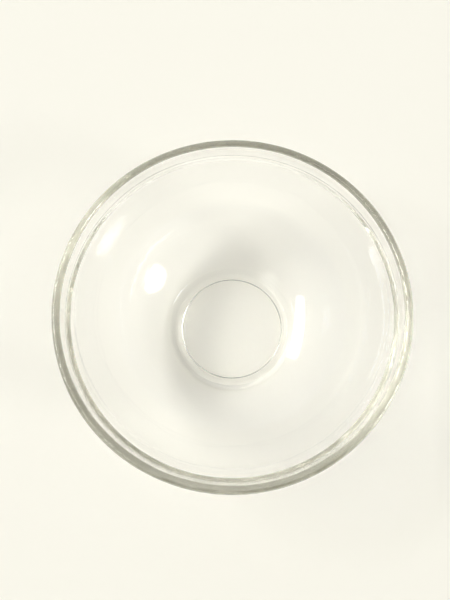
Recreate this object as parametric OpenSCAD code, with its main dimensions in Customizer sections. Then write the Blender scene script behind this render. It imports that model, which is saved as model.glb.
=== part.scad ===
// A round dish pressed in one piece of clear glass. The wall is a bowl curve that
// rises from a small thick foot to an upright rim band. Inside, a gentle ledge
// carries the thicker wall out to the thinner band, which ends in a rounded lip.
// Millimetres, +Z up. The origin is at the middle of the foot, on the plane that
// the dish rests on.

/* [Overall] */
// Outside diameter at the lip
rim_d = 120; // [106:1:126]
// Height from the resting plane to the top of the lip
height = 55; // [52:1:62]

/* [Rim] */
// Thickness of the glass at the lip
lip_t = 2.7; // [2.4:0.1:3]
// Depth of the upright band inside the rim, from the top of the lip down to the ledge
band_h = 7; // [5:0.5:10]
// How far the lip stands out past the top of the bowl curve
band_step = 0.15; // [0.1:0.05:0.3]
// Slope of the ledge below the band, in degrees from upright
ledge_slope = 28; // [20:1:35]
// Rounding of the corner where the band turns into the ledge
ledge_round = 4; // [1:0.5:5]

/* [Wall] */
// Thickness of the curved wall
wall_t = 3.6; // [3.4:0.1:3.8]
// Lean of the wall at its top, in degrees from upright
wall_lean = 7; // [4:1:10]

/* [Foot] */
// Outside diameter of the foot where its side meets the resting plane
foot_d = 50; // [49:0.5:54]
// Height at which the side of the foot, drawn straight on, would meet the bowl curve
foot_h = 2.8; // [2.6:0.1:3.2]
// Slope of the side of the foot, in degrees from level
foot_slope = 46; // [42:1:52]
// Rounding between the resting plane and the side of the foot
heel_r = 2; // [0.8:0.1:2]
// Rounding of the corner where the wall leaves the foot
neck_r = 7; // [2:0.5:7]
// Diameter of the shallow hollow under the foot
recess_d = 44.4; // [40:0.2:45]
// Depth of the hollow under the foot
recess_h = 0.4; // [0.3:0.05:0.8]

/* [Floor] */
// Height of the flat floor inside, above the resting plane
floor_h = 4.5; // [4:0.1:5.5]
// Rounding where the floor turns into the wall
floor_fillet_r = 9; // [6:0.5:12]

/* [Quality] */
// Largest gap between a curve of the outline and the straight steps that draw it
curve_gap = 0.015; // [0.01:0.005:0.04]

/* [Hidden] */
$fn = 96;

rim_r = rim_d / 2;
foot_r = foot_d / 2;
recess_r = recess_d / 2;

// The lip is almost a full round, with a flat on top that is a fiftieth of its thickness
lip_round = 0.49 * lip_t;

// Ledge: a short slope that carries the inside of the wall out to the inside of the band
ledge_w = wall_t * cos(wall_lean) + band_step - lip_t;
ledge_low = height - band_h - ledge_w / tan(ledge_slope);
ledge_fit = 0.9 * ledge_w / sin(ledge_slope) / tan(ledge_slope / 2);
ledge_r = min(ledge_round, ledge_fit);

// The inside and the outside of the wall are arcs about one centre. The inside starts
// at the foot of the ledge with the wall's lean, and the outside is aimed at the top of
// the foot's side, which fixes the radius.
wall_top = [rim_r - lip_t - ledge_w, ledge_low];
wall_dir = [cos(wall_lean), -sin(wall_lean)];
foot_edge = [foot_r, 0];
foot_dir = [cos(foot_slope), sin(foot_slope)];
to_foot = foot_edge + foot_dir * foot_h / foot_dir.y - wall_top;
wall_in_r = (to_foot * to_foot - wall_t * wall_t) / (2 * wall_t - 2 * to_foot * wall_dir);
wall_out_r = wall_in_r + wall_t;
wall_c = wall_top - wall_in_r * wall_dir;

// Neck: an arc between the sloping side of the foot and the outside of the wall
neck_off = foot_edge + neck_r * [foot_dir.y, -foot_dir.x] - wall_c;
neck_reach = wall_out_r + neck_r;
neck_along = neck_off * foot_dir;
neck_run = -neck_along - sqrt(pow(neck_along, 2) - neck_off * neck_off + pow(neck_reach, 2));
neck_c = wall_c + neck_off + neck_run * foot_dir;
neck_angle = atan2(wall_c.y - neck_c.y, wall_c.x - neck_c.x);

// Floor fillet: an arc between the flat floor and the inside of the wall
fillet_z = floor_h + floor_fillet_r;
fillet_run = sqrt(pow(wall_in_r - floor_fillet_r, 2) - pow(wall_c.y - fillet_z, 2));
fillet_angle = atan2(fillet_z - wall_c.y, fillet_run);

// Points along an arc of radius r about centre c, from angle a to angle b
function arc(c, r, a, b) =
    let (steps = max(2, ceil(abs(b - a) / (2 * acos(1 - curve_gap / r)))))
    [for (i = [0:steps]) let (t = a + (b - a) * i / steps) c + r * [cos(t), sin(t)]];

// The arc of radius r that rounds corner p, on the way from point a to point b
function round_corner(a, p, b, r) =
    let (u = (a - p) / norm(a - p), v = (b - p) / norm(b - p))
    let (half = acos(u * v) / 2)
    let (c = p + (u + v) / norm(u + v) * r / sin(half))
    let (s = p + u * r / tan(half) - c, e = p + v * r / tan(half) - c)
    let (start = atan2(s.y, s.x), turn = atan2(s.x * e.y - s.y * e.x, s * e))
    arc(c, r, start, start + turn);

// The points with each one that repeats the point before it left out
function distinct(points) =
    [for (i = [0:len(points) - 1]) if (i == 0 || norm(points[i] - points[i - 1]) > 0.001) points[i]];

// The lip and the ledge, up the outside of the band and down its inside
function band() =
    let (start = wall_c + wall_out_r * wall_dir)
    let (outer = [rim_r, height], inner = [rim_r - lip_t, height], low = [rim_r - lip_t, height - band_h])
    concat(
        round_corner(start, outer, inner, lip_round),
        round_corner(outer, inner, low, lip_round),
        round_corner(inner, low, wall_top, ledge_r)
    );

// Half outline, from the middle of the underside round the outside and back down the inside
function outline() = distinct(concat(
    [[0, recess_h], [recess_r - recess_h, recess_h], [recess_r, 0]],
    round_corner([recess_r, 0], foot_edge, foot_edge + foot_dir, heel_r),
    arc(neck_c, neck_r, foot_slope + 90, neck_angle),
    arc(wall_c, wall_out_r, neck_angle - 180, -wall_lean),
    band(),
    arc(wall_c, wall_in_r, -wall_lean, fillet_angle),
    arc([wall_c.x + fillet_run, fillet_z], floor_fillet_r, fillet_angle, -90),
    [[0, floor_h]]
));

module glass_dish() {
    color([0.90, 0.90, 0.85, 0.35])
        rotate_extrude()
            polygon(outline());
}

glass_dish();
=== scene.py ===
"""A dish of clear pressed glass on a plain pale floor, in metres, +Z up."""

import math

import bmesh
import bpy
from mathutils import Matrix, Vector, noise


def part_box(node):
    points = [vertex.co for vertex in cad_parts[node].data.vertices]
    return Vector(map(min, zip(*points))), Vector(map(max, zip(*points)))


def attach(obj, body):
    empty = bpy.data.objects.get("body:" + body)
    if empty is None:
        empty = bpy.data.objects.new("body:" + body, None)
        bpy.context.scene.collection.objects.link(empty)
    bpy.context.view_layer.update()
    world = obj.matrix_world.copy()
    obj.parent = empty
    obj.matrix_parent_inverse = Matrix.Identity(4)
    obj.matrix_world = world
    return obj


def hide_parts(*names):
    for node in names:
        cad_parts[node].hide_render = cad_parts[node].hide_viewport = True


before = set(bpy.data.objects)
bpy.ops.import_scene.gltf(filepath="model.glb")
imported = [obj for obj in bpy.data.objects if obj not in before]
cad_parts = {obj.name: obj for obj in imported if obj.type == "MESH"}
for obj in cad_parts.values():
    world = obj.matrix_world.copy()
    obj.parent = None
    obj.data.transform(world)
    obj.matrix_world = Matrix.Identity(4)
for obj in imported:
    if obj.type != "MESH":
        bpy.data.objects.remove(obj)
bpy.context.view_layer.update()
MM = 0.001

# ---------------------------------------------------------------- the dish's sizes
dish_low, dish_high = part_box("glass_dish")
RIM_R = (dish_high.x - dish_low.x) / 2
HEIGHT = dish_high.z
LIP_T = 2.7 * MM
LIP_ROUND = 0.49 * LIP_T
BAND_H = 7 * MM
BAND_STEP = 0.15 * MM
LEDGE_SLOPE = math.radians(28)
LEDGE_ROUND = 4 * MM
WALL_T = 3.6 * MM
WALL_LEAN = math.radians(7)
CORNER_ROUND = 2 * MM
FOOT_R = 25 * MM
FOOT_H = 2.8 * MM
FOOT_SLOPE = math.radians(46)
HEEL_R = 2 * MM
NECK_R = 7 * MM
RECESS_R = 22.2 * MM
RECESS_H = 0.4 * MM
RECESS_ROUND = 0.15 * MM
FLOOR_H = 4.5 * MM
FLOOR_FILLET_R = 9 * MM

# Waves in the pressed faces (height, size) and the mould seam on the outside of the band
WAVES = [(0.05 * MM, 14 * MM), (0.012 * MM, 6 * MM)]
SEAM_TURN = math.radians(181)
SEAM_HALF_W = 0.5 * MM
SEAM_HEIGHT = 0.1 * MM

# The mesh: sides round the dish, its longest face, and the finer sides at the seam
SEGMENTS = 288
LONGEST_FACE = 2.5 * MM
SEAM_STEP = math.radians(0.3)
SEAM_STEPS = 6
LEAST_STEP = math.radians(0.1)

# The floor under the dish lies a little lower, so that the two never touch
TABLE_R = 3
TABLE_TOP = -0.2 * MM
TABLE_UNDERSIDE = -20 * MM
TABLE_SEGMENTS = 64


def arc(centre, radius, start, end, steps):
    """Points (r, z) along an arc, with angles in radians from +r towards +z."""
    angles = [start + (end - start) * i / steps for i in range(steps + 1)]
    return [(centre[0] + radius * math.cos(t), centre[1] + radius * math.sin(t)) for t in angles]


def rounded(corners, steps=12):
    """The corners (r, z, radius), each replaced by an arc that touches both of its sides."""
    out = []
    for before, (r, z, radius), after in zip(corners, corners[1:], corners[2:]):
        corner = Vector((r, z))
        back = (Vector(before[:2]) - corner).normalized()
        ahead = (Vector(after[:2]) - corner).normalized()
        half = back.angle(ahead) / 2
        centre = corner + (back + ahead).normalized() * radius / math.sin(half)
        start = (corner + back * radius / math.tan(half)) - centre
        end = (corner + ahead * radius / math.tan(half)) - centre
        first = math.atan2(start.y, start.x)
        turn = math.atan2(start.cross(end), start.dot(end))
        out += arc(centre, radius, first, first + turn, steps)
    return out


def line(a, b, steps):
    """Points from a to b, both included."""
    return [(a[0] + (b[0] - a[0]) * i / steps, a[1] + (b[1] - a[1]) * i / steps)
            for i in range(steps + 1)]


def distinct(points, gap=1e-6):
    """The points, without those that repeat the one before."""
    kept = points[:1]
    for p in points[1:]:
        if math.dist(p, kept[-1]) > gap:
            kept.append(p)
    return kept


def dish_outline():
    """Half outline (r, z) of the glass, from the middle of the underside, outside first."""
    # Both faces of the wall are arcs about one centre, and the outer one is aimed at the foot
    ledge = WALL_T * math.cos(WALL_LEAN) + BAND_STEP - LIP_T
    band_low = HEIGHT - BAND_H
    wall_top = Vector((RIM_R - LIP_T - ledge, band_low - ledge / math.tan(LEDGE_SLOPE)))
    outward = Vector((math.cos(WALL_LEAN), -math.sin(WALL_LEAN)))
    foot_edge = Vector((FOOT_R, 0))
    side = Vector((math.cos(FOOT_SLOPE), math.sin(FOOT_SLOPE)))
    to_foot = foot_edge + side * FOOT_H / side.y - wall_top
    in_r = (to_foot.length_squared - WALL_T ** 2) / (2 * WALL_T - 2 * to_foot.dot(outward))
    out_r = in_r + WALL_T
    centre = wall_top - in_r * outward
    cr, cz = centre

    # The neck joins the foot's side to the wall, and the fillet joins the wall to the floor
    away = foot_edge + Vector((side.y, -side.x)) * NECK_R - centre
    along = away.dot(side)
    run = -along - math.sqrt(along ** 2 - away.length_squared + (out_r + NECK_R) ** 2)
    neck = centre + away + side * run
    neck_turn = math.atan2(cz - neck.y, cr - neck.x)
    fillet_z = FLOOR_H + FLOOR_FILLET_R
    fillet_run = math.sqrt((in_r - FLOOR_FILLET_R) ** 2 - (cz - fillet_z) ** 2)
    fillet_turn = math.atan2(fillet_z - cz, fillet_run)

    underside = line((0, RECESS_H), (RECESS_R - RECESS_H, RECESS_H), 12)
    foot = rounded([(0, RECESS_H), (RECESS_R - RECESS_H, RECESS_H, RECESS_ROUND),
                    (RECESS_R, 0, RECESS_ROUND), (FOOT_R, 0, HEEL_R), foot_edge + side])
    foot += arc(neck, NECK_R, FOOT_SLOPE + math.pi / 2, neck_turn, 12)
    outer_wall = arc((cr, cz), out_r, neck_turn - math.pi, -WALL_LEAN, 44)
    inner_wall = arc((cr, cz), in_r, -WALL_LEAN, fillet_turn, 40)
    band = rounded([outer_wall[-4], (*outer_wall[-1], CORNER_ROUND),
                    (RIM_R, HEIGHT, LIP_ROUND), (RIM_R - LIP_T, HEIGHT, LIP_ROUND),
                    (RIM_R - LIP_T, band_low, LEDGE_ROUND), (*wall_top, CORNER_ROUND), inner_wall[3]])
    fillet = arc((cr + fillet_run, fillet_z), FLOOR_FILLET_R, fillet_turn, -math.pi / 2, 8)
    floor = line(fillet[-1], (0, FLOOR_H), 12)
    return distinct(underside[:-1] + foot + outer_wall[:-1] + band + inner_wall[1:] + fillet + floor)


def spread(points, longest):
    """The outline with each long straight stretch divided, so that every face is small."""
    out = [points[0]]
    for a, b in zip(points, points[1:]):
        steps = max(1, math.ceil(math.dist(a, b) / longest))
        out += line(a, b, steps)[1:]
    return out


def even_turns(count):
    """Angles spaced evenly round a full turn."""
    return [math.tau * i / count for i in range(count)]


def dish_turns():
    """Even angles round the dish, with closer ones at the mould seam."""
    at_seam = [SEAM_TURN + SEAM_STEP * i for i in range(-SEAM_STEPS, SEAM_STEPS + 1)]
    turns = sorted(even_turns(SEGMENTS) + at_seam)
    return [t for t, after in zip(turns, turns[1:] + [math.tau]) if after - t > LEAST_STEP]


def lathe(name, outline, turns):
    """A closed solid of revolution. The outline starts and ends on the axis."""
    mesh = bmesh.new()
    rings = []
    for r, z in outline:
        if r < 1e-9:
            rings.append([mesh.verts.new((0, 0, z))] * len(turns))
        else:
            rings.append([mesh.verts.new((r * math.cos(t), r * math.sin(t), z)) for t in turns])
    for lower, upper in zip(rings, rings[1:]):
        for i in range(len(turns)):
            j = (i + 1) % len(turns)
            corners = list(dict.fromkeys([lower[i], lower[j], upper[j], upper[i]]))
            mesh.faces.new(corners).smooth = True
    bmesh.ops.recalc_face_normals(mesh, faces=mesh.faces)
    data = bpy.data.meshes.new(name)
    mesh.to_mesh(data)
    mesh.free()
    obj = bpy.data.objects.new(name, data)
    bpy.context.scene.collection.objects.link(obj)
    return obj


def ramp(value, low, high):
    """0 below low and 1 above high, with a smooth rise between."""
    t = min(1, max(0, (value - low) / (high - low)))
    return t * t * (3 - 2 * t)


def press_marks(obj):
    """Slow waves that pressing leaves in both faces of the glass, and the mould seam on the band."""
    data = obj.data
    normals = [v.normal.copy() for v in data.vertices]
    for vertex, normal in zip(data.vertices, normals):
        p = vertex.co
        wave = sum(height * noise.noise(p / size) for height, size in WAVES)
        shift = wave * ramp(p.z, FLOOR_H / 4, FLOOR_H)
        if math.hypot(p.x, p.y) > RIM_R - LIP_T / 2:
            turn = math.remainder(math.atan2(p.y, p.x) - SEAM_TURN, math.tau)
            away = turn * RIM_R / SEAM_HALF_W
            fade = ramp(p.z, HEIGHT - 2 * BAND_H, HEIGHT - BAND_H)
            shift += SEAM_HEIGHT * math.exp(-away ** 2) * fade
        vertex.co = p + normal * shift


# ---------------------------------------------------------------- materials
def new_material(name):
    """An empty node material with its output, as (material, nodes, links, output)."""
    material = bpy.data.materials.new(name)
    material.use_nodes = True
    tree = material.node_tree
    tree.nodes.clear()
    return material, tree.nodes, tree.links, tree.nodes.new("ShaderNodeOutputMaterial")


def wiped_film(nodes, links):
    """Roughness of a faint film, left by wiping in streaks that run up and down the glass."""
    stretch = nodes.new("ShaderNodeMapping")
    stretch.inputs["Scale"].default_value = (1, 1, 0.4)
    links.new(nodes.new("ShaderNodeTexCoord").outputs["Object"], stretch.inputs["Vector"])
    smears = nodes.new("ShaderNodeTexNoise")
    smears.inputs["Scale"].default_value = 55
    smears.inputs["Detail"].default_value = 4
    links.new(stretch.outputs["Vector"], smears.inputs["Vector"])
    film = nodes.new("ShaderNodeMapRange")
    film.inputs["From Min"].default_value = 0.5
    film.inputs["From Max"].default_value = 0.75
    film.inputs["To Min"].default_value = 0
    film.inputs["To Max"].default_value = 0.06
    links.new(smears.outputs["Fac"], film.inputs["Value"])
    return film.outputs["Result"]


def glass_material():
    """Clear soda-lime glass, fire-polished, olive through its thickness."""
    material, nodes, links, output = new_material("clear_glass")
    shader = nodes.new("ShaderNodeBsdfPrincipled")
    shader.inputs["Base Color"].default_value = (1, 1, 1, 1)
    shader.inputs["IOR"].default_value = 1.52
    shader.inputs["Transmission Weight"].default_value = 1.0
    tint = nodes.new("ShaderNodeVolumeAbsorption")
    tint.inputs["Color"].default_value = (0.5, 0.48, 0.29, 1)
    tint.inputs["Density"].default_value = 6.0
    links.new(wiped_film(nodes, links), shader.inputs["Roughness"])
    links.new(shader.outputs["BSDF"], output.inputs["Surface"])
    links.new(tint.outputs["Volume"], output.inputs["Volume"])
    return material


def floor_material():
    """Plain pale matt floor."""
    material, nodes, links, output = new_material("pale_floor")
    shader = nodes.new("ShaderNodeBsdfPrincipled")
    shader.inputs["Base Color"].default_value = (0.875, 0.855, 0.775, 1)
    shader.inputs["Roughness"].default_value = 0.9
    shader.inputs["Specular IOR Level"].default_value = 0.1
    links.new(shader.outputs["BSDF"], output.inputs["Surface"])
    return material


# ---------------------------------------------------------------- pieces
dish = lathe("dish", spread(dish_outline(), LONGEST_FACE), dish_turns())
press_marks(dish)
dish.data.materials.append(glass_material())
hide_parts("glass_dish")
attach(dish, "root")

table_outline = [(0, TABLE_TOP), (TABLE_R, TABLE_TOP), (TABLE_R, TABLE_UNDERSIDE), (0, TABLE_UNDERSIDE)]
floor = lathe("floor", table_outline, even_turns(TABLE_SEGMENTS))
floor.data.materials.append(floor_material())

# ---------------------------------------------------------------- light
SKY_COLOUR = (1.0, 1.0, 0.98, 1)
SKY_LEVEL = 0.7

# Cards: azimuth, elevation, half width, half height, soft edge, level. Later ones lie on top.
CARDS = [
    (125, 20, 65, 35, 20, 1.0),     # bright room to the left and behind
    (355, 50, 45, 25, 15, 0.3),     # dark wall to the right
    (255, 35, 35, 35, 15, 0.15),    # whoever stands at the front
    (265, 75, 15, 15, 10, 0.6),     # ceiling over the front
    (190, 63, 20, 6, 5, 3.0),       # high window to the left
    (315, 5, 15, 10, 10, 1.0),      # low light at the front right
    (166, 44.5, 18, 2.6, 2, 26),    # long strip light to the left
]

# Lamps: azimuth, elevation, half width, soft edge, level
LAMPS = [(-22, 28.5, 7.5, 2.5, 16)]


def sky_tools(nodes, links):
    """Short makers for the world's node tree, as (math node, turned direction)."""
    def maths(operation, *values):
        node = nodes.new("ShaderNodeMath")
        node.operation = operation
        for socket, value in zip(node.inputs, values):
            if isinstance(value, (int, float)):
                socket.default_value = value
            else:
                links.new(value, socket)
        return node.outputs[0]

    def turned(vector, axis, degrees):
        node = nodes.new("ShaderNodeVectorRotate")
        node.rotation_type = axis
        node.inputs["Angle"].default_value = math.radians(degrees)
        links.new(vector, node.inputs["Vector"])
        return node.outputs[0]

    return maths, turned


def soft_edge(nodes, links, value, inside, outside):
    """1 where value is below inside, falling smoothly to 0 at outside."""
    node = nodes.new("ShaderNodeMapRange")
    node.interpolation_type = "SMOOTHSTEP"
    links.new(value, node.inputs["Value"])
    node.inputs["From Min"].default_value = inside
    node.inputs["From Max"].default_value = outside
    node.inputs["To Min"].default_value = 1
    node.inputs["To Max"].default_value = 0
    return node.outputs["Result"]


def studio(cards, lamps):
    """A plain sky with flat cards and round lamps far away.

    Angles are in degrees, with azimuth from +X towards +Y. Each level replaces the
    brightness of the sky behind it.
    """
    world = bpy.data.worlds.new("studio")
    bpy.context.scene.world = world
    world.use_nodes = True
    nodes, links = world.node_tree.nodes, world.node_tree.links
    nodes.clear()
    maths, turned = sky_tools(nodes, links)
    direction = nodes.new("ShaderNodeTexCoord").outputs["Generated"]

    def facing(azimuth, elevation):
        axes = nodes.new("ShaderNodeSeparateXYZ")
        links.new(turned(turned(direction, "Z_AXIS", -azimuth), "Y_AXIS", elevation), axes.inputs[0])
        return axes.outputs

    def placed(below, mask, level):
        mix = nodes.new("ShaderNodeMix")
        links.new(mask, mix.inputs["Factor"])
        if isinstance(below, (int, float)):
            mix.inputs[2].default_value = below
        else:
            links.new(below, mix.inputs[2])
        mix.inputs[3].default_value = level
        return mix.outputs[0]

    level_now = SKY_LEVEL
    for azimuth, elevation, half_w, half_h, soft, level in cards:
        x, y, z = facing(azimuth, elevation)
        ahead = maths("MAXIMUM", x, 1e-4)
        across = maths("ARCTANGENT", maths("ABSOLUTE", maths("DIVIDE", y, ahead)))
        upward = maths("ARCTANGENT", maths("ABSOLUTE", maths("DIVIDE", z, ahead)))
        w, h, edge = map(math.radians, (half_w, half_h, soft))
        mask = maths("MULTIPLY", soft_edge(nodes, links, across, w - edge, w + edge),
                     soft_edge(nodes, links, upward, h - edge, h + edge))
        level_now = placed(level_now, mask, level)
    for azimuth, elevation, half_w, soft, level in lamps:
        angle = maths("ARCCOSINE", facing(azimuth, elevation)["X"])
        w, edge = map(math.radians, (half_w, soft))
        mask = soft_edge(nodes, links, angle, w - edge, w + edge)
        level_now = placed(level_now, mask, level)
    sky = nodes.new("ShaderNodeBackground")
    sky.inputs["Color"].default_value = SKY_COLOUR
    links.new(level_now, sky.inputs["Strength"])
    links.new(sky.outputs["Background"], nodes.new("ShaderNodeOutputWorld").inputs["Surface"])


studio(CARDS, LAMPS)

# ---------------------------------------------------------------- camera
CAMERA_PLACE = (0.7 * MM, -33.4 * MM, 206.6 * MM)
PITCH = math.radians(12.68)
YAW = math.radians(-1.0)

camera_data = bpy.data.cameras.new("camera")
camera_data.sensor_width = 36
camera_data.lens = 28.2
camera_data.clip_start = 5 * MM
camera_data.clip_end = 20
camera = bpy.data.objects.new("camera", camera_data)
bpy.context.scene.collection.objects.link(camera)
bpy.context.scene.camera = camera
camera.location = CAMERA_PLACE

# The view is nearly straight down, so the camera's turn is built from the way it looks back
level_part = math.sin(YAW) ** 2 + math.sin(PITCH) ** 2
backward = Vector((-math.sin(YAW), -math.sin(PITCH), math.sqrt(1 - level_part)))
right = Vector((0, 1, 0)).cross(backward).normalized()
camera.rotation_euler = Matrix((right, backward.cross(right), backward)).transposed().to_euler()

# ---------------------------------------------------------------- render settings
# Light goes round inside the thick rim many times. A clamp or blurred glossy light would
# darken what is seen through the glass.
scene = bpy.context.scene
scene.view_settings.view_transform = "Standard"
scene.cycles.max_bounces = 96
scene.cycles.transmission_bounces = 96
scene.cycles.glossy_bounces = 96
scene.cycles.blur_glossy = 0.0
scene.cycles.sample_clamp_indirect = 0.0
